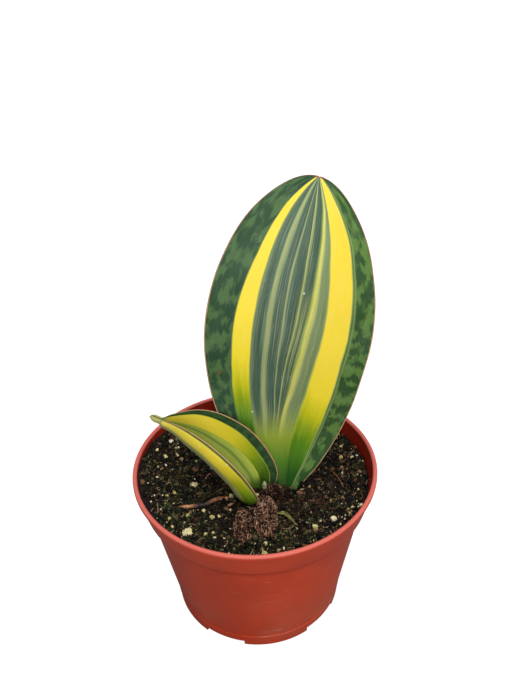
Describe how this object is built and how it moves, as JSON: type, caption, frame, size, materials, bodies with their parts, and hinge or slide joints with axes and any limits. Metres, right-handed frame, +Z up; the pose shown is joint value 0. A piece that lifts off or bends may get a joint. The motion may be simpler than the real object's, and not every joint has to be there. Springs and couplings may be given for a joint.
{
  "type": "potted snake plant",
  "caption": "Young variegated snake plant with broad yellow-striped leaves in a round terracotta-coloured plastic nursery pot.",
  "frame": {"origin": "on the pot's axis, in the plane its foot stands on", "axes": "+Z up along the pot's axis, -Y towards the front of the plant, where the small leaf crosses in front of the large one"},
  "size_m": [0.154, 0.154, 0.2808],
  "materials": {
    "pot_plastic": "satin",
    "soil": "matt",
    "leaf": "satin",
    "root": "matt",
    "peat_fibre": "matt",
    "dry_scrap": "matt",
    "bark": "matt",
    "perlite": "matt"
  },
  "bodies": {
    "root": {"pot": "pot_plastic", "soil": "soil", "leaf_large": "leaf", "leaf_small": "leaf", "rhizome": "root", "root_1": "root", "root_2": "root", "root_3": "root", "root_4": "root", "surface_root": "root", "peat_clump_front": "peat_fibre", "peat_clump_left": "peat_fibre", "peat_clump_rear": "peat_fibre", "peat_mound_right": "peat_fibre", "peat_clump_back_left": "peat_fibre", "leaf_scrap_left": "dry_scrap", "straw_scrap_right": "dry_scrap", "bark_chip_1": "bark", "bark_chip_2": "bark", "bark_chip_3": "bark", "perlite_01": "perlite", "perlite_02": "perlite", "perlite_03": "perlite", "perlite_04": "perlite", "perlite_05": "perlite", "perlite_06": "perlite", "perlite_07": "perlite", "perlite_08": "perlite", "perlite_09": "perlite", "perlite_10": "perlite", "perlite_11": "perlite", "perlite_12": "perlite", "perlite_13": "perlite", "perlite_14": "perlite", "perlite_15": "perlite", "perlite_16": "perlite"}
  },
  "joints": []
}
